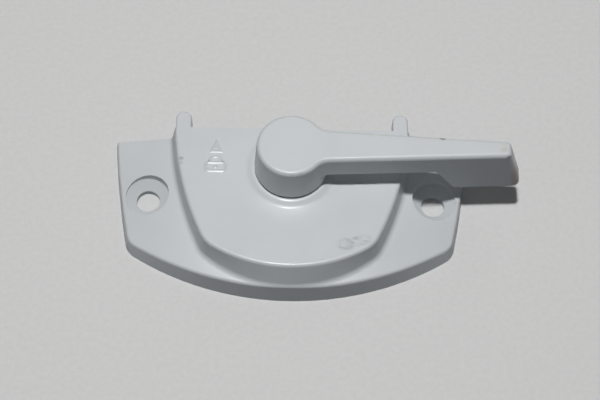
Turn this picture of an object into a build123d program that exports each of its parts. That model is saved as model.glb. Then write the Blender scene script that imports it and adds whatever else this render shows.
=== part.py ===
"""Cam-action window sash lock: die-cast housing, turning handle and the cam stack under it.

Millimetres. The origin is midway between the two screw holes, on the mounting face.
+X runs along the housing towards the handle's tip, +Y points at the keeper side, +Z is up.
"""

import math
import os

from build123d import *

# Mounting face and screw holes
HOLE_SPACING = 63.5
HOLE_RADIUS = 2.57
SEAT_RADIUS = 4.84
SEAT_WALL = 1.4
SEAT_CONE = 1.7
SEAT_TOP_Z = 4.45
SCREW_BOSS_WALL = 1.3

# Base outline, at the mounting face
BACK_Y = 14.0
BACK_HALF_WIDTH = 39.9
SIDE_MID_INSET = 1.6
SIDE_MID_Y = 1.1
BASE_CORNER_INSET = 4.0
BASE_CORNER_Y = -12.1
FRONT_Y = -23.05
BASE_CORNER_RADIUS = 4.5
CROWN_RADIUS = 180.0
CROWN_Y = 6.0
CROWN_Z = 7.4
BASE_EDGE_RADIUS = 0.7

# Lean of the base's walls: how far they draw in for each millimetre up
SIDE_LEAN = 0.16
CORNER_LEAN = 0.36
FRONT_LEAN = 0.17

# Shell thickness, and the run of shapes past the faces that they are cut to
WALL = 2.1
OVERRUN = 6.0

# Raised dome, outline at its flat top
DOME_TOP_Z = 10.5
DOME_HALF_WIDTH = 25.9
DOME_SIDE_MID_INSET = 2.0
DOME_SIDE_MID_Y = 1.0
DOME_CORNER_INSET = 7.7
DOME_CORNER_Y = -14.0
DOME_FRONT_Y = -19.5
DOME_CORNER_RADIUS = 7.0
DOME_SKIRT = 8.0
DOME_SIDE_SPREAD = 1.6
DOME_CORNER_DROP = 0.6
DOME_FRONT_SPREAD = 3.6
DOME_EDGE_RADIUS = 0.8
BLEND_RADIUS = 1.2

# Alignment lugs on the keeper side
LUG_X = 24.1
LUG_WIDTH = 3.5
LUG_REACH = 4.2
LUG_HEIGHT = 3.2
LUG_EDGE_RADIUS = 0.5

# Pivot axis and the stack on it, heights above the mounting face
PIVOT_Y = 4.1
COVE_FOOT_RADIUS = 13.8
COVE_HEIGHT = 0.3
COLLAR_RADIUS = 8.5
COLLAR_RUN = 1.25
COLLAR_HEIGHT = 0.9
COLLAR_EDGE_RADIUS = 1.2
COLLAR_FOOT_BLEND = 2.0
BUSH_BORE_CLEARANCE = 0.04
SPINDLE_RADIUS = 3.5
BUSH_WALL = 1.6
BUSH_FLANGE_RADIUS = 6.6
BUSH_FLANGE_THICKNESS = 0.8
BOSS_WALL = 2.0
BOSS_Z = 7.0
WAVE_WASHER_HEIGHT = 0.6
WAVE_WASHER_THICKNESS = 0.3
THRUST_WASHER_RADIUS = 7.0
THRUST_WASHER_THICKNESS = 0.8
THRUST_WASHER_PROUD = 0.4
WASHER_SEAT_GAP = 0.2
WAVE_COUNT = 3
WAVE_STEPS = 24
FIT_GAP = 0.03
OVERCUT = 1.0

# Cam
CAM_BOTTOM_Z = 1.6
CAM_ARM_THICKNESS = 2.0
CAM_REACH = 17.0
CAM_HOOK_WIDTH = 5.0
CAM_HOOK_START_ANGLE = 225.0
CAM_HOOK_END_ANGLE = 315.0
CAM_WEB_ANGLE = 30.0
CAM_DRUM_RADIUS = 6.5
CAM_FLAT_HALF = 5.5
SPINDLE_FLAT_HALF = 2.6
CAM_RECESS_RADIUS = 4.7
CAM_RECESS_DEPTH = 2.0
CAM_CORNER_RADIUS = 1.0
STOP_START_ANGLE = -44.0
STOP_END_ANGLE = 30.0
STOP_INNER = 9.0
STOP_OUTER = 11.0
WINDOW_HALF = 20.0
WINDOW_Z = 6.6

# Retaining screw and its washers
SCREW_RADIUS = 2.0
SCREW_LENGTH = 7.0
SCREW_END_GAP = 1.0
SCREW_HEAD_RADIUS = 3.6
SCREW_HEAD_HEIGHT = 1.9
SCREW_RECESS_WIDTH = 0.9
SCREW_RECESS_DEPTH = 0.9
WASHER_EDGE_GAP = 0.3
WASHER_THICKNESS = 0.5
LOCK_WASHER_RADIUS = 3.4
LOCK_WASHER_THICKNESS = 0.7
LOCK_WASHER_SPLIT = 0.6

# Detent leaf springs and the slotted posts that hold them
SPRING_THICKNESS = 0.4
SPRING_LENGTH = 15.4
SPRING_GAP = 0.05
SPRING_EDGE_GAP = 0.25
POST_SIZE = 3.2
POST_CLEARANCE = 0.3

# Handle
HANDLE_TOP_Z = 21.0
HUB_TOP_RADIUS = 7.4
HUB_RADIUS = 8.1
HUB_FOOT_RADIUS = 0.5
LEVER_UNDER_Z = 15.3
LEVER_ROOT_X = 9.0
LEVER_ROOT_HALF = 3.75
LEVER_TIP_HALF = 1.85
LEVER_TIP_X = 46.8
LEVER_DRAFT = 2.5
TIP_DROP_Z = 8.6
TIP_FOOT_RUN = 3.6
TIP_KNEE_X = 31.4
TIP_HEEL_RUN = 4.3
TIP_CORNER_RADIUS = 1.6
TIP_KNEE_RADIUS = 1.6
TIP_HEEL_RADIUS = 1.2
TIP_SIDE_RADIUS = 1.05
TIP_END_GAP = 0.1
HANDLE_EDGE_RADIUS = 0.95
LEVER_ROOT_RADIUS = 4.0
SOCKET_HALF = 2.4
SOCKET_DEPTH = 6.5

# Heights worked out from the stack
collar_z = DOME_TOP_Z + COLLAR_HEIGHT
collar_foot = (COLLAR_RADIUS + COLLAR_RUN, DOME_TOP_Z + COVE_HEIGHT)
ceiling_z = DOME_TOP_Z - WALL
hub_z = collar_z + THRUST_WASHER_PROUD
washer_seat_z = hub_z - THRUST_WASHER_THICKNESS
flange_z = BOSS_Z - BUSH_FLANGE_THICKNESS
cam_top_z = flange_z - WAVE_WASHER_HEIGHT
arm_top_z = CAM_BOTTOM_Z + CAM_ARM_THICKNESS
recess_z = CAM_BOTTOM_Z + CAM_RECESS_DEPTH
spindle_end_z = recess_z + FIT_GAP
washer_radius = CAM_RECESS_RADIUS - WASHER_EDGE_GAP
bush_bore = SPINDLE_RADIUS + BUSH_BORE_CLEARANCE
bush_radius = SPINDLE_RADIUS + BUSH_WALL
spring_z = arm_top_z + SPRING_EDGE_GAP
spring_width = cam_top_z - SPRING_EDGE_GAP - spring_z


def circle_through(a, b, c):
    """Centre and radius of the circle through three points."""
    d = 2 * (a[0] * (b[1] - c[1]) + b[0] * (c[1] - a[1]) + c[0] * (a[1] - b[1]))
    aa = a[0] ** 2 + a[1] ** 2
    bb = b[0] ** 2 + b[1] ** 2
    cc = c[0] ** 2 + c[1] ** 2
    x = (aa * (b[1] - c[1]) + bb * (c[1] - a[1]) + cc * (a[1] - b[1])) / d
    y = (aa * (c[0] - b[0]) + bb * (a[0] - c[0]) + cc * (b[0] - a[0])) / d
    return x, y, math.hypot(a[0] - x, a[1] - y)


def meeting(first, second, near):
    """Crossing of two circles that lies by a point; a circle is centre x, centre y and radius."""
    dx = second[0] - first[0]
    dy = second[1] - first[1]
    gap = math.hypot(dx, dy)
    along = (first[2] ** 2 - second[2] ** 2 + gap**2) / (2 * gap)
    across = math.sqrt(first[2] ** 2 - along**2)
    foot_x = first[0] + along * dx / gap
    foot_y = first[1] + along * dy / gap
    crossings = [
        (foot_x - across * dy / gap, foot_y + across * dx / gap),
        (foot_x + across * dy / gap, foot_y - across * dx / gap),
    ]
    return min(crossings, key=lambda point: math.dist(point, near))


def right_side(circle, y):
    return circle[0] + math.sqrt(circle[2] ** 2 - (y - circle[1]) ** 2), y


def shield(back_half, side_mid, corner, front_y, corner_radius, grow=0.0):
    """Outline with an arched front and bowed sides, run on past the back and moved out by grow."""
    side = circle_through((back_half, BACK_Y), side_mid, corner)
    front = circle_through(corner, (0, front_y), (-corner[0], corner[1]))
    side = (side[0], side[1], side[2] + grow)
    front = (front[0], front[1], front[2] + grow)
    end = right_side(side, BACK_Y + OVERRUN)
    mid = right_side(side, side_mid[1])
    tip = meeting(side, front, corner)
    left_end = (-end[0], end[1])
    left_mid = (-mid[0], mid[1])
    left_tip = (-tip[0], tip[1])
    lines = [
        Line(end, left_end),
        ThreePointArc(left_end, left_mid, left_tip),
        ThreePointArc(left_tip, (0, front_y - grow), tip),
        ThreePointArc(tip, mid, end),
    ]
    face = make_face(lines)
    front_corners = [v for v in face.vertices() if abs(v.Y - tip[1]) < FIT_GAP]
    return fillet(front_corners, corner_radius + grow)


def base_outline(height, grow=0.0):
    """Base's outline at a height above the mounting face, where its walls have drawn in."""
    half = BACK_HALF_WIDTH - height * SIDE_LEAN
    side_mid = (half - SIDE_MID_INSET, SIDE_MID_Y)
    corner = (half - BASE_CORNER_INSET, BASE_CORNER_Y + height * CORNER_LEAN)
    front_y = FRONT_Y + height * FRONT_LEAN
    return shield(half, side_mid, corner, front_y, BASE_CORNER_RADIUS, grow)


def dome_outline(depth, grow=0.0):
    """Dome's outline at a depth below its flat top, where its walls have spread."""
    share = depth / DOME_SKIRT
    half = DOME_HALF_WIDTH + share * DOME_SIDE_SPREAD
    side_mid = (half - DOME_SIDE_MID_INSET, DOME_SIDE_MID_Y)
    corner = (half - DOME_CORNER_INSET, DOME_CORNER_Y - share * DOME_CORNER_DROP)
    front_y = DOME_FRONT_Y - share * DOME_FRONT_SPREAD
    return shield(half, side_mid, corner, front_y, DOME_CORNER_RADIUS, grow)


def at_pivot(z):
    return Pos(0, PIVOT_Y, z)


def drum(radius, low, high):
    """Plain cylinder on the pivot axis between two heights."""
    return at_pivot(low) * Cylinder(radius, high - low, align=(Align.CENTER, Align.CENTER, Align.MIN))


def ring(outer, inner, low, high):
    return drum(outer, low, high) - drum(inner, low - OVERCUT, high + OVERCUT)


def sector(outer, inner, low, high, start, end):
    """Ring sector on the pivot axis between two angles, in degrees from +X."""
    width = math.radians(end - start)
    steps = max(2, math.ceil(width / math.radians(60)))
    reach = outer / math.cos(width / steps / 2) * 1.05
    points = [(0, 0)]
    for i in range(steps + 1):
        angle = math.radians(start) + width * i / steps
        points.append((reach * math.cos(angle), reach * math.sin(angle)))
    wedge = rise(make_face(Polyline(*points, close=True)), high - low)
    return ring(outer, inner, low, high) & (at_pivot(low) * wedge)


def rise(face, height):
    """Extrusion straight up."""
    return extrude(face, height, dir=(0, 0, 1))


def behind(back_y):
    """Big block that keeps everything in front of a plane across the back."""
    size = 4 * BACK_HALF_WIDTH
    return Pos(0, back_y, 0) * Box(size, size, size, align=(Align.CENTER, Align.MAX, Align.CENTER))


def crown(inset):
    """Ball whose upper skin is the crowned top of the base, drawn in by an inset."""
    return Pos(0, CROWN_Y, CROWN_Z - CROWN_RADIUS) * Sphere(CROWN_RADIUS - inset)


def on_back(edge):
    return all(edge.position_at(t).Y > BACK_Y - FIT_GAP for t in (0.1, 0.5, 0.9))


def base_walls(top_z, inset=0.0):
    """Block within the base's leaning walls, up to a height."""
    foot = base_outline(0, -inset)
    top = Pos(0, 0, top_z) * base_outline(top_z, -inset)
    return loft([foot, top], ruled=True)


def crown_slab():
    """Slab under the crowned top, run on past the base's walls."""
    return rise(base_outline(0, OVERRUN), CROWN_Z + WALL) & crown(0) & behind(BACK_Y)


def dome_block():
    """Raised plate with leaning walls, rounded along its upper edge except at the back."""
    foot = Pos(0, 0, DOME_TOP_Z - DOME_SKIRT) * dome_outline(DOME_SKIRT)
    top = Pos(0, 0, DOME_TOP_Z) * dome_outline(0)
    block = loft([foot, top], ruled=True) & behind(BACK_Y)
    rim = [e for e in block.edges().group_by(Axis.Z)[-1] if not on_back(e)]
    return fillet(rim, DOME_EDGE_RADIUS)


def eased_dome():
    """Dome on the crowned slab, with a hollow curve along its foot."""
    slab = crown_slab()
    dome = dome_block()
    body = slab + dome
    seam = [e for e in new_edges(slab, dome, combined=body) if not on_back(e)]
    return fillet(seam, BLEND_RADIUS)


def outer_shape():
    """Eased dome cut to the base's walls and rounded along the rim."""
    block = eased_dome()
    walls = base_walls(DOME_TOP_Z + OVERCUT)
    body = block & walls
    cut = new_edges(block, walls, combined=body)
    rim = [e for e in cut if e.center().Z > FIT_GAP and not on_back(e)]
    return fillet(rim, BASE_EDGE_RADIUS)


def cavity():
    """Hollow under the shell, open at the mounting face."""
    low = base_walls(CROWN_Z, WALL) & crown(WALL)
    foot = Pos(0, 0, DOME_TOP_Z - DOME_SKIRT) * dome_outline(DOME_SKIRT, -WALL)
    top = Pos(0, 0, ceiling_z) * dome_outline(WALL, -WALL)
    return (low + loft([foot, top], ruled=True)) & behind(BACK_Y - WALL)


def screw_boss(side):
    """Cup round a screw hole, down to the mounting face and up to the crowned skin."""
    column = Cylinder(SEAT_RADIUS + SCREW_BOSS_WALL, CROWN_Z, align=(Align.CENTER, Align.CENTER, Align.MIN))
    boss = Pos(side * HOLE_SPACING / 2, 0, 0) * column
    return boss & crown(WALL / 2) & base_walls(CROWN_Z, WALL / 2)


def screw_seat(side):
    """Screw hole, the countersink above it and the short straight wall up to the skin."""
    upright = (Align.CENTER, Align.CENTER, Align.MIN)
    hole = Cylinder(HOLE_RADIUS, SEAT_TOP_Z, align=upright)
    wall_z = SEAT_TOP_Z - SEAT_WALL
    cone = Pos(0, 0, wall_z - SEAT_CONE) * Cone(HOLE_RADIUS, SEAT_RADIUS, SEAT_CONE, align=upright)
    wall = Pos(0, 0, wall_z) * Cylinder(SEAT_RADIUS, CROWN_Z, align=upright)
    return Pos(side * HOLE_SPACING / 2, 0, 0) * (hole + cone + wall)


def lug(side):
    """Flat finger that sticks out over the keeper, rounded at its end."""
    half = LUG_WIDTH / 2
    length = WALL + LUG_REACH - half
    bar = Rectangle(LUG_WIDTH, length, align=(Align.CENTER, Align.MIN)) + Pos(0, length) * Circle(half)
    body = rise(bar, LUG_HEIGHT)
    rim = body.edges().group_by(Axis.Z)[-1].filter_by(lambda e: e.center().Y > FIT_GAP)
    body = fillet(rim, LUG_EDGE_RADIUS)
    return Pos(side * LUG_X, BACK_Y - WALL, DOME_TOP_Z - LUG_HEIGHT) * body


def cove_arc():
    """Hollow sweep from the dome's flat top up to the foot of the collar."""
    run = COVE_FOOT_RADIUS - collar_foot[0]
    radius = (run**2 + COVE_HEIGHT**2) / (2 * COVE_HEIGHT)
    half_angle = math.asin(run / radius) / 2
    middle_x = COVE_FOOT_RADIUS - radius * math.sin(half_angle)
    middle_z = DOME_TOP_Z + radius * (1 - math.cos(half_angle))
    return ThreePointArc((COVE_FOOT_RADIUS, DOME_TOP_Z), (middle_x, middle_z), collar_foot)


def is_level(edge, z):
    return all(abs(edge.position_at(t).Z - z) < FIT_GAP for t in (0, 0.5, 1))


def pivot_platform():
    """Collar with a leaning side under the hub, and the cove up to it from the dome, cut off by the back."""
    floor_z = DOME_TOP_Z - WALL / 2
    lines = [
        Line((0, floor_z), (COVE_FOOT_RADIUS, floor_z)),
        Line((COVE_FOOT_RADIUS, floor_z), (COVE_FOOT_RADIUS, DOME_TOP_Z)),
        cove_arc(),
        Line(collar_foot, (COLLAR_RADIUS, collar_z)),
        Line((COLLAR_RADIUS, collar_z), (0, collar_z)),
        Line((0, collar_z), (0, floor_z)),
    ]
    turned = revolve(Plane.XZ * make_face(lines), Axis.Z)
    turned = fillet(turned.edges().group_by(Axis.Z)[-1], COLLAR_EDGE_RADIUS)
    foot = [e for e in turned.edges() if is_level(e, collar_foot[1])]
    turned = fillet(foot, COLLAR_FOOT_BLEND)
    return (Pos(0, PIVOT_Y, 0) * turned) & behind(BACK_Y)


def spring_post(x_side, y_side):
    """Block under the ceiling, beside the cam's drum, that takes one end of a leaf spring."""
    x = x_side * (CAM_FLAT_HALF + SPRING_GAP + SPRING_THICKNESS / 2)
    y = PIVOT_Y + y_side * (SPRING_LENGTH - POST_SIZE) / 2
    height = ceiling_z + FIT_GAP - spring_z
    block = Box(POST_SIZE, POST_SIZE, height, align=(Align.CENTER, Align.CENTER, Align.MIN))
    return Pos(x, y, spring_z) * block


def spring_room(x_side):
    """Slot that a leaf spring stands in, through both of its posts."""
    x = x_side * (CAM_FLAT_HALF + SPRING_GAP + SPRING_THICKNESS / 2)
    height = spring_width + POST_CLEARANCE
    slot = Box(
        SPRING_THICKNESS + 2 * FIT_GAP, SPRING_LENGTH + 2 * FIT_GAP, height,
        align=(Align.CENTER, Align.CENTER, Align.MIN),
    )
    return Pos(x, PIVOT_Y, spring_z - FIT_GAP) * slot


def build_housing():
    shell = outer_shape() - cavity()
    rib_top = ceiling_z + FIT_GAP
    shell += drum(bush_radius + BOSS_WALL, BOSS_Z, rib_top)
    shell += sector(STOP_OUTER, STOP_INNER, CAM_BOTTOM_Z, rib_top, STOP_START_ANGLE, STOP_END_ANGLE)
    for side in (-1, 1):
        shell += screw_boss(side)
        shell -= screw_seat(side)
        shell += lug(side)
        for y_side in (-1, 1):
            shell += spring_post(side, y_side)
        shell -= spring_room(side)
    shell -= drum(max(BUSH_FLANGE_RADIUS, CAM_DRUM_RADIUS) + POST_CLEARANCE, CAM_BOTTOM_Z, BOSS_Z)
    shell += pivot_platform()
    shell -= drum(bush_radius, BOSS_Z - OVERCUT, collar_z + OVERCUT)
    shell -= drum(THRUST_WASHER_RADIUS + WASHER_SEAT_GAP, washer_seat_z, collar_z + OVERCUT)
    window = Box(2 * WINDOW_HALF, 2 * WALL, 2 * WINDOW_Z, align=(Align.CENTER, Align.MIN, Align.CENTER))
    return shell - Pos(0, BACK_Y - WALL - FIT_GAP, 0) * window


def build_bush():
    """Plain bearing with a flange under the boss."""
    body = drum(bush_radius, flange_z, washer_seat_z) + drum(BUSH_FLANGE_RADIUS, flange_z, BOSS_Z)
    return body - drum(bush_bore, flange_z - OVERCUT, washer_seat_z + OVERCUT)


def build_spring(x_side):
    """Straight leaf that bears on one flat of the cam's drum."""
    x = x_side * (CAM_FLAT_HALF + SPRING_GAP + SPRING_THICKNESS / 2)
    leaf = Box(SPRING_THICKNESS, SPRING_LENGTH, spring_width, align=(Align.CENTER, Align.CENTER, Align.MIN))
    return Pos(x, PIVOT_Y, spring_z) * leaf


def lever_profile():
    """Side view of the lever with its drooping tip, as a block across the handle."""
    top_x = LEVER_TIP_X + TIP_END_GAP
    foot_x = top_x + TIP_FOOT_RUN
    heel_x = TIP_KNEE_X + TIP_HEEL_RUN
    outline = Polyline(
        (0, LEVER_UNDER_Z), (TIP_KNEE_X, LEVER_UNDER_Z), (heel_x, TIP_DROP_Z), (foot_x, TIP_DROP_Z),
        (top_x, HANDLE_TOP_Z), (0, HANDLE_TOP_Z), close=True,
    )
    block = extrude(Plane.XZ * make_face(outline), HUB_TOP_RADIUS, both=True)
    bends = ((TIP_KNEE_X, TIP_KNEE_RADIUS), (heel_x, TIP_HEEL_RADIUS), (foot_x, TIP_CORNER_RADIUS))
    for x, radius in bends:
        across = block.edges().filter_by(Axis.Y)
        block = fillet([e for e in across if abs(e.center().X - x) < FIT_GAP], radius)
    return block


def lever_section(z):
    """Plan of the lever at a height: it tapers outwards, spreads downwards and has rounded ends."""
    drop = (HANDLE_TOP_Z - z) / (HANDLE_TOP_Z - TIP_DROP_Z)
    end_x = LEVER_TIP_X + drop * TIP_FOOT_RUN
    slope = (LEVER_TIP_HALF - LEVER_ROOT_HALF) / (LEVER_TIP_X - LEVER_ROOT_X)
    spread = (HANDLE_TOP_Z - z) * math.tan(math.radians(LEVER_DRAFT))
    root = LEVER_ROOT_HALF - LEVER_ROOT_X * slope + spread
    end = root + end_x * slope
    face = make_face(Polyline((0, -root), (end_x, -end), (end_x, end), (0, root), close=True))
    tips = face.vertices().group_by(Axis.X)[-1]
    return Pos(0, 0, z) * fillet(tips, TIP_SIDE_RADIUS)


def lever():
    """Tapering bar with drafted sides, shaped from the side by its profile."""
    bar = loft([lever_section(TIP_DROP_Z), lever_section(HANDLE_TOP_Z)], ruled=True)
    return Pos(0, PIVOT_Y, 0) * (bar & lever_profile())


def build_handle():
    """Hub and lever in one casting, with a square socket for the spindle."""
    upright = (Align.CENTER, Align.CENTER, Align.MIN)
    hub = at_pivot(hub_z) * Cone(HUB_RADIUS, HUB_TOP_RADIUS, HANDLE_TOP_Z - hub_z, align=upright)
    hub = fillet(hub.edges().group_by(Axis.Z)[0], HUB_FOOT_RADIUS)
    bar = lever()
    body = hub + bar
    least_rise = (HANDLE_TOP_Z - LEVER_UNDER_Z) / 2
    roots = [e for e in new_edges(hub, bar, combined=body) if abs((e @ 0).Z - (e @ 1).Z) > least_rise]
    body = fillet(roots, LEVER_ROOT_RADIUS)
    rim = body.edges().group_by(Axis.Z)[-1]
    body = fillet(rim, HANDLE_EDGE_RADIUS)
    socket = Box(2 * SOCKET_HALF, 2 * SOCKET_HALF, SOCKET_DEPTH, align=upright)
    return body - at_pivot(hub_z) * socket


def build_spindle():
    """Round journal with a square head, a double-D foot and a tapped hole."""
    upright = (Align.CENTER, Align.CENTER, Align.MIN)
    body = drum(SPINDLE_RADIUS, spindle_end_z, hub_z)
    half = SOCKET_HALF - FIT_GAP
    body += at_pivot(hub_z - FIT_GAP) * Box(2 * half, 2 * half, SOCKET_DEPTH - FIT_GAP, align=upright)
    foot_height = cam_top_z - spindle_end_z
    for side in (-1, 1):
        flat = Box(2 * SPINDLE_RADIUS, 2 * SPINDLE_RADIUS, foot_height, align=upright)
        shift = side * (SPINDLE_FLAT_HALF - FIT_GAP + SPINDLE_RADIUS)
        body -= Pos(shift, PIVOT_Y, spindle_end_z) * flat
    return body - drum(SCREW_RADIUS, spindle_end_z - OVERCUT, spindle_end_z + SCREW_LENGTH)


def build_thrust_washer():
    return ring(THRUST_WASHER_RADIUS, SPINDLE_RADIUS + FIT_GAP, washer_seat_z, hub_z)


def build_wave_washer():
    """Thin spring washer with three gentle waves, which sits on the cam just clear of the bush."""
    swing = (WAVE_WASHER_HEIGHT - WAVE_WASHER_THICKNESS - FIT_GAP) / 2
    inner = SPINDLE_RADIUS + WASHER_SEAT_GAP
    outer = BUSH_FLANGE_RADIUS - WASHER_SEAT_GAP
    bands = []
    for radius in (inner, outer):
        points = []
        for i in range(WAVE_STEPS):
            angle = 2 * math.pi * i / WAVE_STEPS
            height = swing * math.cos(WAVE_COUNT * angle)
            points.append((radius * math.cos(angle), radius * math.sin(angle), height))
        bands.append(Spline(*points, periodic=True))
    sheet = Face.make_surface_from_curves(bands[0].edge(), bands[1].edge())
    body = Solid.extrude(sheet, Vector(0, 0, WAVE_WASHER_THICKNESS))
    return at_pivot(cam_top_z + swing) * body


def build_cam():
    """Drum with two detent flats over a hooked arm, recessed below for the screw."""
    body = drum(CAM_DRUM_RADIUS, CAM_BOTTOM_Z, cam_top_z)
    for side in (-1, 1):
        height = cam_top_z - arm_top_z
        flat = Box(CAM_REACH, 2 * CAM_DRUM_RADIUS, height, align=(Align.CENTER, Align.CENTER, Align.MIN))
        body -= Pos(side * (CAM_FLAT_HALF + CAM_REACH / 2), PIVOT_Y, arm_top_z) * flat
    hook_inner = CAM_REACH - CAM_HOOK_WIDTH
    hook_start = CAM_HOOK_START_ANGLE
    hook_end = CAM_HOOK_END_ANGLE
    arm = sector(CAM_REACH, hook_inner, CAM_BOTTOM_Z, arm_top_z, hook_start, hook_end)
    web_start = hook_end - CAM_WEB_ANGLE
    arm += sector(hook_inner + FIT_GAP, CAM_RECESS_RADIUS, CAM_BOTTOM_Z, arm_top_z, web_start, hook_end)
    uprights = [e for e in arm.edges().filter_by(Axis.Z) if at_hook(e)]
    body += fillet(uprights, CAM_CORNER_RADIUS)
    body -= drum(CAM_RECESS_RADIUS, CAM_BOTTOM_Z - OVERCUT, recess_z)
    bore = drum(SPINDLE_RADIUS + FIT_GAP, recess_z - OVERCUT, cam_top_z + OVERCUT)
    slab = Box(2 * SPINDLE_FLAT_HALF, 4 * SPINDLE_RADIUS, 4 * CAM_BOTTOM_Z + cam_top_z)
    return body - (bore & (at_pivot(recess_z) * slab))


def at_hook(edge):
    """True for the outer upright edges of the hook, well away from the drum."""
    middle = edge.center()
    return math.hypot(middle.X, middle.Y - PIVOT_Y) > CAM_REACH - FIT_GAP


def build_retaining_washer():
    return ring(washer_radius, SCREW_RADIUS + FIT_GAP, recess_z - WASHER_THICKNESS, recess_z)


def build_lock_washer():
    """Split spring washer between the screw's head and the plain washer."""
    top = recess_z - WASHER_THICKNESS
    body = ring(LOCK_WASHER_RADIUS, SCREW_RADIUS + FIT_GAP, top - LOCK_WASHER_THICKNESS, top)
    cut = Box(
        2 * LOCK_WASHER_RADIUS, LOCK_WASHER_SPLIT, 4 * LOCK_WASHER_THICKNESS,
        align=(Align.MIN, Align.CENTER, Align.CENTER),
    )
    return body - at_pivot(top) * cut


def build_screw():
    """Pan-head screw with a cross recess, head down."""
    head_top = recess_z - WASHER_THICKNESS - LOCK_WASHER_THICKNESS
    head_z = head_top - SCREW_HEAD_HEIGHT
    head = drum(SCREW_HEAD_RADIUS, head_z, head_top)
    head = fillet(head.edges().group_by(Axis.Z)[0], SCREW_HEAD_HEIGHT / 3)
    shank = drum(SCREW_RADIUS - FIT_GAP, head_top - FIT_GAP, spindle_end_z + SCREW_LENGTH - SCREW_END_GAP)
    shank = chamfer(shank.edges().group_by(Axis.Z)[-1], SCREW_RADIUS / 4)
    body = head + shank
    for angle in (0, 90):
        slot = Box(SCREW_HEAD_RADIUS, SCREW_RECESS_WIDTH, 2 * SCREW_RECESS_DEPTH)
        body -= at_pivot(head_z) * Rot(0, 0, angle) * slot
    return body


def main():
    os.makedirs("parts", exist_ok=True)
    nodes = {
        "housing": build_housing(),
        "pivot_bush": build_bush(),
        "detent_spring_left": build_spring(-1),
        "detent_spring_right": build_spring(1),
        "handle": build_handle(),
        "spindle": build_spindle(),
        "thrust_washer": build_thrust_washer(),
        "wave_washer": build_wave_washer(),
        "cam": build_cam(),
        "retaining_washer": build_retaining_washer(),
        "lock_washer": build_lock_washer(),
        "retaining_screw": build_screw(),
    }
    for name, shape in nodes.items():
        solids = shape.solids()
        print(name, len(solids), round(shape.volume, 2), shape.is_valid)
        export_step(solids[0], f"parts/{name}.step")


if __name__ == "__main__":
    main()
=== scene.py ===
"""Looks of a white cam-action sash lock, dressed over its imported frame."""

import logging
import math
from dataclasses import dataclass, field
from enum import Enum
from typing import Dict, List, Sequence, Tuple

import bmesh
import bpy
from mathutils import Matrix, Vector


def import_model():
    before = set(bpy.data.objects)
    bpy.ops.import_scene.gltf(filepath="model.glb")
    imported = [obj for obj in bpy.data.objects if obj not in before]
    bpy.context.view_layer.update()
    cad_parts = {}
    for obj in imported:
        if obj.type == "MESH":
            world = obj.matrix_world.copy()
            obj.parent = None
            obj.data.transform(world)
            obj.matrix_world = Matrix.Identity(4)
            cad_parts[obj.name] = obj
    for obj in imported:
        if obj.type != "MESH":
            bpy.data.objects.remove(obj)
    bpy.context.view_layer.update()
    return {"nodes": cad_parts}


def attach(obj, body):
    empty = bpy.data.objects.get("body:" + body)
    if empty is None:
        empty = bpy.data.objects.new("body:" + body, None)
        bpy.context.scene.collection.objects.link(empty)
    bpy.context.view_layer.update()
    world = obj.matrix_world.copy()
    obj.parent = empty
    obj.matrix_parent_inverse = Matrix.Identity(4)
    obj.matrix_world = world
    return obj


log = logging.getLogger("sash_lock")

Colour = Tuple[float, float, float]
Place = Tuple[float, float]
Point = Tuple[float, float, float]
Span = Tuple[float, float]

MM = 0.001
ORIGIN: Point = (0.0, 0.0, 0.0)
UP: Point = (0.0, 0.0, 1.0)
PIVOT: Point = (0.0, 4.1 * MM, 0.0)
LOCK_MIDDLE: Point = (0.0, 0.0, 5.0 * MM)

# Sockets of Blender's Mix node when it mixes colours.
MIX_FACTOR = 0
MIX_COLOURS = (6, 7)
MIX_RESULT = 2

# A full spot is whole up to SPOT_CORE of its reach. A hollow one is weaker in its middle by
# HOLLOW_DEPTH of its hollow, and grows to full from HOLLOW_START of its hollow to the hollow's edge.
SPOT_CORE = 0.3
HOLLOW_START = 0.6
HOLLOW_DEPTH = 0.8

NOUGHT_TO_ONE: Span = (0.0, 1.0)
ONE_TO_NOUGHT: Span = (1.0, 0.0)
GLOSS_SPAN: Span = (0.30, 0.70)

SHARP_ANGLE = math.radians(25.0)
ROUND_PROFILE = 0.5
KEEP_MATERIAL = -1
TRIANGLE_SIDES = 3
ORDER_DIGITS = 7
UNIT_HALF = 0.5

PALE_WEAR: Colour = (0.36, 0.37, 0.38)
DARK_NICK: Colour = (0.14, 0.14, 0.15)
GREY_NICK: Colour = (0.22, 0.22, 0.23)
TAN_MARK: Colour = (0.55, 0.47, 0.36)
WARM_TIP_TINT: Colour = (0.46, 0.31, 0.23)


def in_mm(x: float, y: float, z: float) -> Point:
    """Point or size given in millimetres.

    Args:
        x: along X.
        y: along Y.
        z: along Z.

    Returns:
        The same in metres.
    """
    return (x * MM, y * MM, z * MM)


class Body(Enum):
    """The two rigid bodies of the lock."""

    HOUSING = "housing"
    HANDLE = "handle"


@dataclass(frozen=True)
class Cloud:
    """Soft patches of noise: waves per metre, octaves, and the noise values between which they fade."""

    scale: float
    detail: float
    span: Span


@dataclass(frozen=True)
class Skin:
    """Fine unevenness of a surface: waves per metre, octaves, share that shows and depth in metres."""

    scale: float
    detail: float
    strength: float
    depth: float


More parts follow.
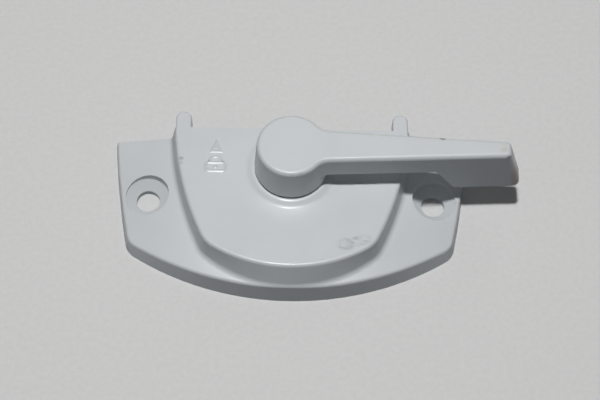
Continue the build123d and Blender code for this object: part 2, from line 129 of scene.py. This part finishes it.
class NodeChain:
    """Small helper that adds shader nodes to one material and links them."""

    def __init__(self, name: str) -> None:
        """Start a node material with an empty tree and its output.

        Args:
            name: name of the material.
        """
        self.material = bpy.data.materials.new(name)
        self.material.use_nodes = True
        self.tree = self.material.node_tree
        self.tree.nodes.clear()
        self.output = self.tree.nodes.new("ShaderNodeOutputMaterial")
        self.coords = self.tree.nodes.new("ShaderNodeTexCoord")

    def add(self, kind: str, **settings: object) -> bpy.types.Node:
        """Add one node and set its properties.

        Args:
            kind: Blender's class name of the node.
            settings: properties of the node by name.

        Returns:
            The new node.
        """
        node = self.tree.nodes.new(kind)
        for key, value in settings.items():
            setattr(node, key, value)
        return node

    def link(self, source: bpy.types.NodeSocket, target: bpy.types.NodeSocket) -> None:
        """Join two sockets.

        Args:
            source: output socket.
            target: input socket.
        """
        self.tree.links.new(source, target)

    def noise(self, scale: float, detail: float, stretch: Point = (1.0, 1.0, 1.0)) -> bpy.types.NodeSocket:
        """Noise on the piece's own coordinates.

        Args:
            scale: waves per metre.
            detail: octaves of finer noise.
            stretch: scale of each axis before the noise.

        Returns:
            The noise's value socket.
        """
        mapping = self.add("ShaderNodeMapping")
        mapping.inputs["Scale"].default_value = stretch
        self.link(self.coords.outputs["Object"], mapping.inputs["Vector"])
        texture = self.add("ShaderNodeTexNoise")
        texture.inputs["Scale"].default_value = scale
        texture.inputs["Detail"].default_value = detail
        self.link(mapping.outputs["Vector"], texture.inputs["Vector"])
        return texture.outputs["Fac"]

    def ramp(self, value: bpy.types.NodeSocket, span: Span, result: Span) -> bpy.types.NodeSocket:
        """Map a span of values onto another span, held at both ends.

        Args:
            value: socket to map.
            span: values at the two ends.
            result: results at the two ends.

        Returns:
            The mapped value socket.
        """
        node = self.add("ShaderNodeMapRange", clamp=True)
        node.inputs["From Min"].default_value, node.inputs["From Max"].default_value = span
        node.inputs["To Min"].default_value, node.inputs["To Max"].default_value = result
        self.link(value, node.inputs["Value"])
        return node.outputs["Result"]

    def cloud(self, cloud: Cloud, result: Span = NOUGHT_TO_ONE) -> bpy.types.NodeSocket:
        """Value that wanders softly between two results over the piece.

        Args:
            cloud: the patches.
            result: results outside and inside the patches.

        Returns:
            The value socket.
        """
        return self.ramp(self.noise(cloud.scale, cloud.detail), cloud.span, result)

    def maths(
        self, operation: str, first: bpy.types.NodeSocket, second: bpy.types.NodeSocket
    ) -> bpy.types.NodeSocket:
        """Combine two values.

        Args:
            operation: Blender's name of the operation.
            first: first value.
            second: second value.

        Returns:
            The result socket.
        """
        node = self.add("ShaderNodeMath", operation=operation)
        self.link(first, node.inputs[0])
        self.link(second, node.inputs[1])
        return node.outputs["Value"]

    def spot(self, centre: Point, reach: Point, hollow: float) -> bpy.types.NodeSocket:
        """Mask that is one at a place on the piece and fades to nought at its reach.

        Args:
            centre: the place, in metres.
            reach: half sizes of the mask along X, Y and Z, in metres.
            hollow: share of the reach, from the middle, where the mask is weak; nought for a full spot.

        Returns:
            The mask socket.
        """
        shift = self.add("ShaderNodeVectorMath", operation="SUBTRACT")
        self.link(self.coords.outputs["Object"], shift.inputs[0])
        shift.inputs[1].default_value = centre
        scale = self.add("ShaderNodeVectorMath", operation="DIVIDE")
        self.link(shift.outputs["Vector"], scale.inputs[0])
        scale.inputs[1].default_value = reach
        length = self.add("ShaderNodeVectorMath", operation="LENGTH")
        self.link(scale.outputs["Vector"], length.inputs[0])
        away = length.outputs["Value"]
        outside = self.ramp(away, (max(SPOT_CORE, hollow), 1.0), ONE_TO_NOUGHT)
        inside = self.ramp(away, (HOLLOW_START * hollow, hollow), (1.0 - HOLLOW_DEPTH * hollow, 1.0))
        return self.maths("MULTIPLY", outside, inside)

    def blend(self, mask: bpy.types.NodeSocket, first: object, second: object) -> bpy.types.NodeSocket:
        """Mix two colours by a mask.

        Args:
            mask: nought gives the first colour, one the second.
            first: colour, or the socket of one.
            second: colour, or the socket of one.

        Returns:
            The mixed colour socket.
        """
        node = self.add("ShaderNodeMix", data_type="RGBA")
        self.link(mask, node.inputs[MIX_FACTOR])
        for index, value in zip(MIX_COLOURS, (first, second)):
            if isinstance(value, bpy.types.NodeSocket):
                self.link(value, node.inputs[index])
            else:
                node.inputs[index].default_value = (*value, 1.0)
        return node.outputs[MIX_RESULT]

    def bump(self, height: bpy.types.NodeSocket, strength: float, depth: float) -> bpy.types.NodeSocket:
        """Bump from a height.

        Args:
            height: height socket.
            strength: share of the bump that shows.
            depth: depth in metres.

        Returns:
            The normal socket.
        """
        node = self.add("ShaderNodeBump")
        node.inputs["Strength"].default_value = strength
        node.inputs["Distance"].default_value = depth
        self.link(height, node.inputs["Height"])
        return node.outputs["Normal"]

    def skin(self, skin: Skin) -> bpy.types.NodeSocket:
        """Bump of a finely uneven surface.

        Args:
            skin: the unevenness.

        Returns:
            The normal socket.
        """
        return self.bump(self.noise(skin.scale, skin.detail), skin.strength, skin.depth)

    def shade(
        self, constants: Dict[str, float], linked: Dict[str, bpy.types.NodeSocket]
    ) -> bpy.types.Material:
        """Finish the tree with one principled shader.

        Args:
            constants: values set on the shader's own sockets.
            linked: sockets that feed the shader.

        Returns:
            The finished material.
        """
        shader = self.add("ShaderNodeBsdfPrincipled")
        for key, value in constants.items():
            shader.inputs[key].default_value = value
        for key, socket in linked.items():
            self.link(socket, shader.inputs[key])
        self.link(shader.outputs["BSDF"], self.output.inputs["Surface"])
        return self.material


@dataclass(frozen=True)
class Scuff:
    """A worn or tinted place in the paint: where it is, how far it reaches, how much of it shows and its
    colour.
    """

    centre: Point
    reach: Point
    strength: float
    cover: float
    colour: Colour = PALE_WEAR
    hollow: float = 0.0


@dataclass(frozen=True)
class Streaks:
    """Streaky grain that breaks up the worn places, more of it where a place is well covered."""

    scale: float = 900.0
    detail: float = 6.0
    stretch: Point = (0.5, 1.4, 1.0)
    bare_edge: float = 0.62
    cover_share: float = 0.5
    softness: float = 0.16


@dataclass(frozen=True)
class PaintFinish:
    """Satin white paint over a die casting, with a fine orange-peel skin."""

    name: str
    colour: Colour = (0.705, 0.735, 0.750)
    shade: Colour = (0.668, 0.698, 0.712)
    scuffs: Tuple[Scuff, ...] = ()
    bare: Colour = (0.42, 0.43, 0.44)
    mottle: Cloud = Cloud(70.0, 4.0, (0.35, 0.70))
    thin: Cloud = Cloud(260.0, 5.0, (0.40, 0.66))
    thin_cover: Span = (0.05, 0.75)
    facing_down: Span = (-0.95, -0.55)
    streaks: Streaks = Streaks()
    gloss: Cloud = Cloud(160.0, 3.0, GLOSS_SPAN)
    roughness: Span = (0.33, 0.42)
    peel: Skin = Skin(650.0, 2.0, 0.35, 0.02 * MM)
    ior: float = 1.46
    coat_weight: float = 0.12
    coat_roughness: float = 0.18

    def make(self) -> bpy.types.Material:
        """Build the paint's material.

        Returns:
            The material.
        """
        chain = NodeChain(self.name)
        colour = chain.blend(chain.cloud(self.mottle), self.colour, self.shade)
        colour = chain.blend(self.thin_coat(chain), colour, self.bare)
        colour = self.worn(chain, colour)
        rough = chain.cloud(self.gloss, self.roughness)
        constants = {
            "Metallic": 0.0,
            "IOR": self.ior,
            "Coat Weight": self.coat_weight,
            "Coat Roughness": self.coat_roughness,
        }
        linked = {"Base Color": colour, "Roughness": rough, "Normal": chain.skin(self.peel)}
        return chain.shade(constants, linked)

    def thin_coat(self, chain: NodeChain) -> bpy.types.NodeSocket:
        """Mask of the faces that look down, where the spray hardly reached.

        Args:
            chain: the material's nodes.

        Returns:
            The mask socket.
        """
        geometry = chain.add("ShaderNodeNewGeometry")
        split = chain.add("ShaderNodeSeparateXYZ")
        chain.link(geometry.outputs["Normal"], split.inputs["Vector"])
        down = chain.ramp(split.outputs["Z"], self.facing_down, ONE_TO_NOUGHT)
        patch = chain.cloud(self.thin, self.thin_cover)
        return chain.maths("MULTIPLY", down, patch)

    def worn(self, chain: NodeChain, colour: bpy.types.NodeSocket) -> bpy.types.NodeSocket:
        """Lay every worn place over the paint.

        Args:
            chain: the material's nodes.
            colour: the unworn paint's colour socket.

        Returns:
            The worn paint's colour socket.
        """
        streaks = self.streaks
        grain = chain.noise(streaks.scale, streaks.detail, streaks.stretch)
        for scuff in self.scuffs:
            edge = streaks.bare_edge - streaks.cover_share * scuff.cover
            streak = chain.ramp(grain, (edge, edge + streaks.softness), (0.0, scuff.strength))
            place = chain.spot(scuff.centre, scuff.reach, scuff.hollow)
            mask = chain.maths("MULTIPLY", place, streak)
            colour = chain.blend(mask, colour, scuff.colour)
        return colour


@dataclass(frozen=True)
class CastFinish:
    """Bare zinc as it leaves the die, faintly clouded and grained."""

    name: str
    light: Colour = (0.52, 0.53, 0.55)
    dark: Colour = (0.34, 0.35, 0.37)
    clouding: Cloud = Cloud(180.0, 5.0, (0.32, 0.70))
    gloss: Cloud = Cloud(700.0, 4.0, GLOSS_SPAN)
    roughness: Span = (0.38, 0.58)
    grain: Skin = Skin(2200.0, 4.0, 0.4, 0.02 * MM)
    metallic: float = 0.85
    ior: float = 1.5

    def make(self) -> bpy.types.Material:
        """Build the bare casting's material.

        Returns:
            The material.
        """
        chain = NodeChain(self.name)
        colour = chain.blend(chain.cloud(self.clouding), self.light, self.dark)
        rough = chain.cloud(self.gloss, self.roughness)
        linked = {"Base Color": colour, "Roughness": rough, "Normal": chain.skin(self.grain)}
        return chain.shade({"Metallic": self.metallic, "IOR": self.ior}, linked)


@dataclass(frozen=True)
class TurnedFinish:
    """Steel with fine rings about the pivot, such as a lathe leaves."""

    name: str
    light: Colour
    dark: Colour
    rings_per_metre: float = 2600.0
    roughness: Span = (0.24, 0.38)
    ring_wander: float = 0.4
    ring_strength: float = 0.25
    ring_depth: float = 0.01 * MM
    tarnish: Cloud = Cloud(240.0, 5.0, (0.38, 0.72))
    gloss: Cloud = Cloud(420.0, 3.0, GLOSS_SPAN)

    def make(self) -> bpy.types.Material:
        """Build the turned steel's material.

        Returns:
            The material.
        """
        chain = NodeChain(self.name)
        normal = chain.bump(self.rings(chain), self.ring_strength, self.ring_depth)
        colour = chain.blend(chain.cloud(self.tarnish), self.light, self.dark)
        rough = chain.cloud(self.gloss, self.roughness)
        return chain.shade({"Metallic": 1.0}, {"Base Color": colour, "Roughness": rough, "Normal": normal})

    def rings(self, chain: NodeChain) -> bpy.types.NodeSocket:
        """Height of the rings about the pivot.

        Args:
            chain: the material's nodes.

        Returns:
            The height socket.
        """
        mapping = chain.add("ShaderNodeMapping")
        mapping.inputs["Location"].default_value = [-value for value in PIVOT]
        chain.link(chain.coords.outputs["Object"], mapping.inputs["Vector"])
        waves = chain.add("ShaderNodeTexWave", wave_type="RINGS", rings_direction="Z")
        waves.inputs["Scale"].default_value = self.rings_per_metre / math.tau
        waves.inputs["Distortion"].default_value = self.ring_wander
        chain.link(mapping.outputs["Vector"], waves.inputs["Vector"])
        return waves.outputs["Fac"]


@dataclass(frozen=True)
class MouldedFinish:
    """Natural acetal, slightly waxy."""

    name: str
    colour: Colour = (0.74, 0.73, 0.68)
    shade: Colour = (0.66, 0.65, 0.60)
    flow: Cloud = Cloud(220.0, 3.0, (0.35, 0.70))
    gloss: Cloud = Cloud(500.0, 3.0, GLOSS_SPAN)
    roughness: Span = (0.36, 0.48)
    grain: Skin = Skin(1500.0, 3.0, 0.25, 0.01 * MM)
    ior: float = 1.48

    def make(self) -> bpy.types.Material:
        """Build the moulded plastic's material.

        Returns:
            The material.
        """
        chain = NodeChain(self.name)
        colour = chain.blend(chain.cloud(self.flow), self.colour, self.shade)
        rough = chain.cloud(self.gloss, self.roughness)
        linked = {"Base Color": colour, "Roughness": rough, "Normal": chain.skin(self.grain)}
        return chain.shade({"Metallic": 0.0, "IOR": self.ior}, linked)


@dataclass(frozen=True)
class FloorFinish:
    """Pale matt card with a faint tooth, which throws little light back up at the lock's walls."""

    name: str
    colour: Colour = (0.78, 0.78, 0.77)
    shade: Colour = (0.75, 0.75, 0.745)
    bounce: Colour = (0.09, 0.10, 0.12)
    tooth: Cloud = Cloud(900.0, 3.0, (0.35, 0.65))
    grain: Skin = Skin(1400.0, 3.0, 0.2, 0.02 * MM)
    roughness: float = 0.9

    def make(self) -> bpy.types.Material:
        """Build the floor's material.

        Returns:
            The material.
        """
        chain = NodeChain(self.name)
        pale = chain.blend(chain.cloud(self.tooth), self.colour, self.shade)
        colour = chain.blend(self.seen(chain), self.bounce, pale)
        linked = {"Base Color": colour, "Normal": chain.skin(self.grain)}
        return chain.shade({"Roughness": self.roughness}, linked)

    def seen(self, chain: NodeChain) -> bpy.types.NodeSocket:
        """Mask of the rays that show the floor, straight or in a reflection.

        Args:
            chain: the material's nodes.

        Returns:
            The mask socket.
        """
        path = chain.add("ShaderNodeLightPath")
        mask = path.outputs["Is Camera Ray"]
        for name in ("Is Glossy Ray", "Is Transmission Ray"):
            mask = chain.maths("MAXIMUM", mask, path.outputs[name])
        return mask


class Shape:
    """One new mesh piece, shaped in a bmesh and handed to the frame."""

    def __init__(self, name: str) -> None:
        """Start an empty shape.

        Args:
            name: name of the piece.
        """
        self.name = name
        self.mesh = bmesh.new()

    def face_up(self) -> None:
        """Turn the normals of a flat shape upwards."""
        self.mesh.normal_update()
        under = [face for face in self.mesh.faces if face.normal.z < 0.0]
        bmesh.ops.reverse_faces(self.mesh, faces=under)

    def lift(self, faces: Sequence[bmesh.types.BMFace], height: float) -> List[bmesh.types.BMFace]:
        """Extrude flat faces straight up.

        Args:
            faces: faces to lift.
            height: how far, in metres.

        Returns:
            The faces at the new height.
        """
        made = bmesh.ops.extrude_face_region(self.mesh, geom=list(faces))["geom"]
        points = [item for item in made if isinstance(item, bmesh.types.BMVert)]
        bmesh.ops.translate(self.mesh, vec=(0.0, 0.0, height), verts=points)
        return [item for item in made if isinstance(item, bmesh.types.BMFace)]

    def stretch(self, along_x: float, along_y: float) -> None:
        """Scale a flat shape along X and Y.

        Args:
            along_x: scale along X.
            along_y: scale along Y.
        """
        bmesh.ops.scale(self.mesh, vec=(along_x, along_y, 1.0), verts=self.mesh.verts)

    def move(self, place: Point) -> None:
        """Shift the shape from the origin to its place.

        Args:
            place: the place, in metres.
        """
        bmesh.ops.transform(self.mesh, matrix=Matrix.Translation(place), verts=self.mesh.verts)

    def settle(self) -> None:
        """Put the points and faces in an order that is the same at every run."""
        points = sorted(self.mesh.verts, key=lambda vert: vert.co.to_tuple(ORDER_DIGITS))
        faces = sorted(self.mesh.faces, key=lambda face: face.calc_center_median().to_tuple(ORDER_DIGITS))
        for group in (points, faces):
            for rank, item in enumerate(group):
                item.index = rank
        self.mesh.verts.sort()
        self.mesh.faces.sort()

    def finish(self, material: bpy.types.Material, body: Body) -> None:
        """Turn the shape into an object that rides on a body.

        Args:
            material: finish of the piece.
            body: body that carries it.
        """
        bmesh.ops.recalc_face_normals(self.mesh, faces=self.mesh.faces)
        self.settle()
        data = bpy.data.meshes.new(self.name)
        self.mesh.to_mesh(data)
        self.mesh.free()
        for polygon in data.polygons:
            polygon.use_smooth = True
        data.set_sharp_from_angle(angle=SHARP_ANGLE)
        data.materials.append(material)
        piece = bpy.data.objects.new(self.name, data)
        bpy.context.scene.collection.objects.link(piece)
        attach(piece, body.value)
        log.info("piece %s: %d faces", self.name, len(data.polygons))


@dataclass
class CastMarks:
    """Signs in low, softly sloped relief on the dome: an arrow head towards the keeper and a padlock."""

    top: float = 10.5 * MM
    relief: float = 0.13 * MM
    slope: float = 0.37 * MM
    sunk: float = 0.04 * MM
    line: float = 0.80 * MM
    arrow_place: Place = (-16.6 * MM, 8.8 * MM)
    arrow_radius: float = 2.35 * MM
    arrow_narrow: float = 0.79
    lock_place: Place = (-16.6 * MM, 4.15 * MM)
    lock_width: float = 5.2 * MM
    lock_height: float = 2.9 * MM
    lock_corner: float = 1.10 * MM
    corner_steps: int = 6
    shackle_radius: float = 1.45 * MM
    shackle_steps: int = 24
    keyhole_radius: float = 0.5 * MM
    keyhole_steps: int = 24

    def build(self, material: bpy.types.Material) -> None:
        """Make all the marks.

        Args:
            material: paint of the marks, made a little darker as painted shade on the relief's sloped
                flanks.
        """
        self.arrow(material)
        self.padlock_body(material)
        self.padlock_shackle(material)
        self.padlock_keyhole(material)

    def hollow(self, shape: Shape) -> None:
        """Turn a flat shape into its own outline, one line wide.

        Args:
            shape: the flat shape.
        """
        inner = list(shape.mesh.faces)
        bmesh.ops.inset_region(
            shape.mesh, faces=inner, thickness=self.line, use_even_offset=True, use_boundary=True
        )
        bmesh.ops.delete(shape.mesh, geom=inner, context="FACES_ONLY")

    def raise_up(self, shape: Shape, place: Place, material: bpy.types.Material) -> None:
        """Give a flat shape its sloped relief and seat it a little into the dome's top.

        Args:
            shape: flat shape round the origin.
            place: where it goes on the dome.
            material: paint of the marks.
        """
        shape.face_up()
        faces = shape.lift(list(shape.mesh.faces), self.sunk)
        bmesh.ops.inset_region(
            shape.mesh, faces=faces, thickness=self.slope, depth=self.relief, use_even_offset=True
        )
        shape.move((*place, self.top - self.sunk))
        shape.finish(material, Body.HOUSING)

    def arrow(self, material: bpy.types.Material) -> None:
        """Triangle in outline, its point towards the keeper.

        Args:
            material: paint of the marks.
        """
        shape = Shape("mark_arrow")
        bmesh.ops.create_circle(
            shape.mesh, cap_ends=True, segments=TRIANGLE_SIDES, radius=self.arrow_radius
        )
        shape.stretch(self.arrow_narrow, 1.0)
        self.hollow(shape)
        self.raise_up(shape, self.arrow_place, material)

    def padlock_body(self, material: bpy.types.Material) -> None:
        """Rounded block of the padlock, in outline.

        Args:
            material: paint of the marks.
        """
        shape = Shape("mark_padlock_body")
        bmesh.ops.create_grid(shape.mesh, x_segments=1, y_segments=1, size=UNIT_HALF)
        shape.stretch(self.lock_width, self.lock_height)
        bmesh.ops.bevel(
            shape.mesh, geom=list(shape.mesh.verts), offset=self.lock_corner, offset_type="OFFSET",
            segments=self.corner_steps, profile=ROUND_PROFILE, affect="VERTICES", material=KEEP_MATERIAL,
        )
        self.hollow(shape)
        self.raise_up(shape, self.lock_place, material)

    def padlock_shackle(self, material: bpy.types.Material) -> None:
        """Half ring over the padlock's block.

        Args:
            material: paint of the marks.
        """
        shape = Shape("mark_padlock_shackle")
        inner = shape.mesh.verts.new((self.shackle_radius - self.line / 2, 0.0, 0.0))
        outer = shape.mesh.verts.new((self.shackle_radius + self.line / 2, 0.0, 0.0))
        start = shape.mesh.edges.new((inner, outer))
        bmesh.ops.spin(
            shape.mesh, geom=[inner, outer, start], cent=ORIGIN, axis=UP, dvec=ORIGIN,
            angle=math.pi, steps=self.shackle_steps,
        )
        rise = (self.lock_height - self.line) / 2
        self.raise_up(shape, (self.lock_place[0], self.lock_place[1] + rise), material)

    def padlock_keyhole(self, material: bpy.types.Material) -> None:
        """Round dot in the middle of the padlock's block.

        Args:
            material: paint of the marks.
        """
        shape = Shape("mark_padlock_keyhole")
        bmesh.ops.create_circle(
            shape.mesh, cap_ends=True, segments=self.keyhole_steps, radius=self.keyhole_radius
        )
        self.raise_up(shape, self.lock_place, material)


# Smudge in a ring and two patches beside it on the dome's top, and two chips on its left edge.
HOUSING_SCUFFS: Tuple[Scuff, ...] = (
    Scuff(in_mm(12.0, -14.1, 10.4), in_mm(2.3, 1.6, 1.5), strength=0.55, cover=0.48, hollow=0.65),
    Scuff(in_mm(14.4, -12.8, 10.4), in_mm(1.4, 0.7, 1.5), strength=0.60, cover=0.48),
    Scuff(in_mm(15.6, -13.2, 10.4), in_mm(2.4, 2.2, 1.5), strength=0.50, cover=0.30),
    Scuff(in_mm(-24.2, 6.1, 10.3), in_mm(0.75, 0.60, 0.6), strength=0.85, cover=0.7),
    Scuff(in_mm(-24.1, 5.0, 10.3), in_mm(0.60, 0.70, 0.6), strength=0.40, cover=0.6),
)

# Nick in the lever's back edge, faint wear on the hub, and a tan mark, a nick and a warm brownish tint
# over the end at the tip.
HANDLE_SCUFFS: Tuple[Scuff, ...] = (
    Scuff(in_mm(32.3, 6.5, 20.8), in_mm(1.0, 0.8, 0.8), strength=0.95, cover=1.0, colour=DARK_NICK),
    Scuff(in_mm(1.8, -2.6, 20.4), in_mm(4.0, 1.2, 1.2), strength=0.40, cover=0.34),
    Scuff(in_mm(45.4, 3.6, 21.0), in_mm(1.0, 2.0, 0.5), strength=0.42, cover=0.5, colour=TAN_MARK),
    Scuff(in_mm(46.3, 2.3, 20.4), in_mm(0.7, 0.5, 0.7), strength=0.80, cover=1.0, colour=GREY_NICK),
    Scuff(in_mm(50.0, 3.2, 13.0), in_mm(2.7, 4.2, 9.0), strength=0.85, cover=0.7, colour=WARM_TIP_TINT),
)


@dataclass
class FixedHousing:
    """The painted shell that is screwed to the sash, with its bush and leaf springs."""

    body: Body = Body.HOUSING
    paint: PaintFinish = PaintFinish("housing_white_paint", scuffs=HOUSING_SCUFFS)
    # The marks' paint is darker than the housing's: painted shade on the sloped flanks of the low relief.
    mark_shade_paint: PaintFinish = PaintFinish(
        "mark_painted_shade_paint", colour=(0.645, 0.672, 0.686), shade=(0.611, 0.638, 0.651)
    )
    acetal: MouldedFinish = MouldedFinish("bush_acetal")
    spring: TurnedFinish = TurnedFinish(
        "leaf_spring_steel", light=(0.36, 0.37, 0.39), dark=(0.22, 0.22, 0.23),
        rings_per_metre=1800.0, roughness=(0.28, 0.42),
    )
    marks: CastMarks = field(default_factory=CastMarks)

    def dress(self, nodes: Dict[str, bpy.types.Object]) -> None:
        """Give the fixed nodes their finishes and add the cast marks.

        Args:
            nodes: the frame's objects by node name.
        """
        spring = self.spring.make()
        coat(nodes["housing"], self.paint.make(), self.body)
        coat(nodes["pivot_bush"], self.acetal.make(), self.body)
        for name in ("detent_spring_left", "detent_spring_right"):
            coat(nodes[name], spring, self.body)
        self.marks.build(self.mark_shade_paint.make())


@dataclass
class TurningHandle:
    """The painted lever with the spindle, cam and fasteners that turn with it."""

    body: Body = Body.HANDLE
    paint: PaintFinish = PaintFinish("handle_white_paint", scuffs=HANDLE_SCUFFS)
    zinc: CastFinish = CastFinish("cam_bare_zinc")
    acetal: MouldedFinish = MouldedFinish("thrust_washer_acetal")
    plated: TurnedFinish = TurnedFinish("plated_steel", light=(0.62, 0.63, 0.65), dark=(0.48, 0.48, 0.48))
    spring: TurnedFinish = TurnedFinish(
        "spring_washer_steel", light=(0.38, 0.39, 0.41), dark=(0.24, 0.24, 0.25),
        rings_per_metre=3000.0, roughness=(0.28, 0.40),
    )

    def dress(self, nodes: Dict[str, bpy.types.Object]) -> None:
        """Give the turning nodes their finishes.

        Args:
            nodes: the frame's objects by node name.
        """
        plated = self.plated.make()
        spring = self.spring.make()
        coat(nodes["handle"], self.paint.make(), self.body)
        coat(nodes["cam"], self.zinc.make(), self.body)
        coat(nodes["thrust_washer"], self.acetal.make(), self.body)
        for name in ("spindle", "retaining_washer", "retaining_screw"):
            coat(nodes[name], plated, self.body)
        for name in ("wave_washer", "lock_washer"):
            coat(nodes[name], spring, self.body)


def coat(node: bpy.types.Object, material: bpy.types.Material, body: Body) -> None:
    """Put a finish on every material slot of a frame node.

    Args:
        node: the frame's object.
        material: the finish.
        body: body that carries the node.
    """
    for slot in node.material_slots:
        slot.link = "OBJECT"
        slot.material = material
    log.info("node %s of body %s takes %s", node.name, body.value, material.name)


@dataclass
class PhotoCamera:
    """Camera at the photograph's place, from its fitted angles in degrees."""

    focus: float = 88.56
    sensor: float = 36.0
    clip: Span = (0.01, 20.0)
    target: Point = (2.10 * MM, 1.75 * MM, 0.0)
    distance: float = 331.7 * MM
    elevation: float = 62.5
    yaw: float = -0.6
    roll: float = 1.62

    def build(self) -> None:
        """Make the camera and set it as the scene's own."""
        data = bpy.data.cameras.new("photo_camera")
        data.lens = self.focus
        data.sensor_width = self.sensor
        data.sensor_fit = "HORIZONTAL"
        data.clip_start, data.clip_end = self.clip
        camera = bpy.data.objects.new("photo_camera", data)
        bpy.context.scene.collection.objects.link(camera)
        camera.matrix_world = self.stand()
        bpy.context.scene.camera = camera

    def stand(self) -> Matrix:
        """Place and turn of the camera.

        Returns:
            The camera's matrix in the world.
        """
        turn = math.radians(self.yaw)
        rise = math.radians(self.elevation)
        tilt = math.radians(self.roll)
        back = Vector((math.sin(turn) * math.cos(rise), -math.cos(turn) * math.cos(rise), math.sin(rise)))
        right = Vector((math.cos(turn), math.sin(turn), 0.0))
        up = back.cross(right)
        side = math.cos(tilt) * right + math.sin(tilt) * up
        top = -math.sin(tilt) * right + math.cos(tilt) * up
        place = Vector(self.target) + back * self.distance
        turned = Matrix((side, top, back)).transposed().to_4x4()
        return Matrix.Translation(place) @ turned


@dataclass(frozen=True)
class SoftLight:
    """One square white lamp that looks at the lock: its place, its side in metres and its power."""

    name: str
    place: Point
    size: float
    watts: float

    def build(self) -> None:
        """Make the lamp and aim it at the lock's middle."""
        data = bpy.data.lights.new(self.name, "AREA")
        data.shape = "SQUARE"
        data.size = self.size
        data.energy = self.watts
        lamp = bpy.data.objects.new(self.name, data)
        bpy.context.scene.collection.objects.link(lamp)
        aim = Vector(LOCK_MIDDLE) - Vector(self.place)
        turned = aim.to_track_quat("-Z", "Y").to_matrix().to_4x4()
        lamp.matrix_world = Matrix.Translation(self.place) @ turned


@dataclass
class Studio:
    """Pale floor, soft lamps and an even world."""

    floor_half: float = 1.2
    floor_gap: float = 0.02 * MM
    floor_card: FloorFinish = FloorFinish("floor_card")
    world_colour: Colour = (0.95, 0.97, 1.0)
    world_strength: float = 0.05
    lights: Tuple[SoftLight, ...] = (
        SoftLight("key_overhead", (-0.02, 0.005, 0.62), size=0.05, watts=2.50),
        SoftLight("fill_left", (-0.55, -0.25, 0.40), size=0.50, watts=0.12),
        SoftLight("rim_back", (0.25, 0.55, 0.45), size=0.40, watts=0.28),
    )

    def build(self) -> None:
        """Make the floor, the lamps and the world."""
        self.lay_floor()
        for light in self.lights:
            light.build()
        self.light_world()
        bpy.context.scene.view_settings.view_transform = "Standard"

    def lay_floor(self) -> None:
        """Lay the card just under the lock's mounting face."""
        shape = bmesh.new()
        bmesh.ops.create_grid(shape, x_segments=1, y_segments=1, size=self.floor_half)
        bmesh.ops.translate(shape, vec=(0.0, 0.0, -self.floor_gap), verts=shape.verts)
        data = bpy.data.meshes.new("floor")
        shape.to_mesh(data)
        shape.free()
        data.materials.append(self.floor_card.make())
        floor = bpy.data.objects.new("floor", data)
        bpy.context.scene.collection.objects.link(floor)

    def light_world(self) -> None:
        """Give the scene an even, faint world."""
        world = bpy.data.worlds.new("studio_world")
        world.use_nodes = True
        sky = world.node_tree.nodes["Background"]
        sky.inputs["Color"].default_value = (*self.world_colour, 1.0)
        sky.inputs["Strength"].default_value = self.world_strength
        bpy.context.scene.world = world


def main() -> None:
    """Load the frame, dress both bodies and set up the studio."""
    logging.basicConfig(level=logging.INFO, format="%(name)s: %(message)s")
    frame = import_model()
    nodes = frame["nodes"]
    FixedHousing().dress(nodes)
    TurningHandle().dress(nodes)
    Studio().build()
    PhotoCamera().build()


if __name__ == "__main__":
    main()
